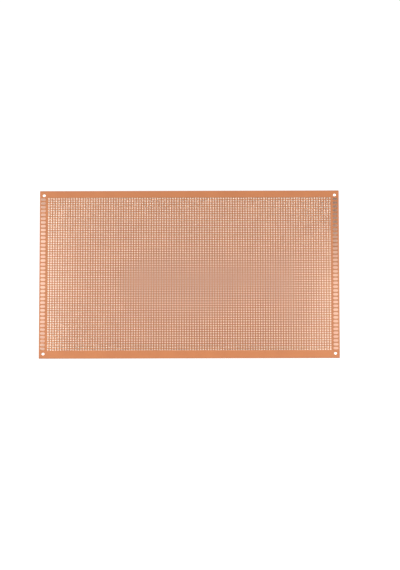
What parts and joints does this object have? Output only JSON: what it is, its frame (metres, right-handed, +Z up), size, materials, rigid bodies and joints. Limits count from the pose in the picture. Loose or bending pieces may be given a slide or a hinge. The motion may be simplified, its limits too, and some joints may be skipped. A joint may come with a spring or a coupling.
{
  "type": "prototype board",
  "caption": "Flat drilled laminate board with a grid of ringed component holes, edge contacts and corner mounting holes.",
  "frame": {"origin": "middle of the underside", "axes": "+X along the long side, +Y along the short side, +Z up out of the copper side"},
  "size_m": [0.3, 0.18, 0.0012],
  "materials": {
    "laminate": "satin",
    "pad_copper": "satin",
    "contact_copper": "satin"
  },
  "bodies": {
    "root": {"laminate": "laminate", "copper_pads": "pad_copper", "left_contacts": "contact_copper", "right_contacts": "contact_copper"}
  },
  "joints": []
}
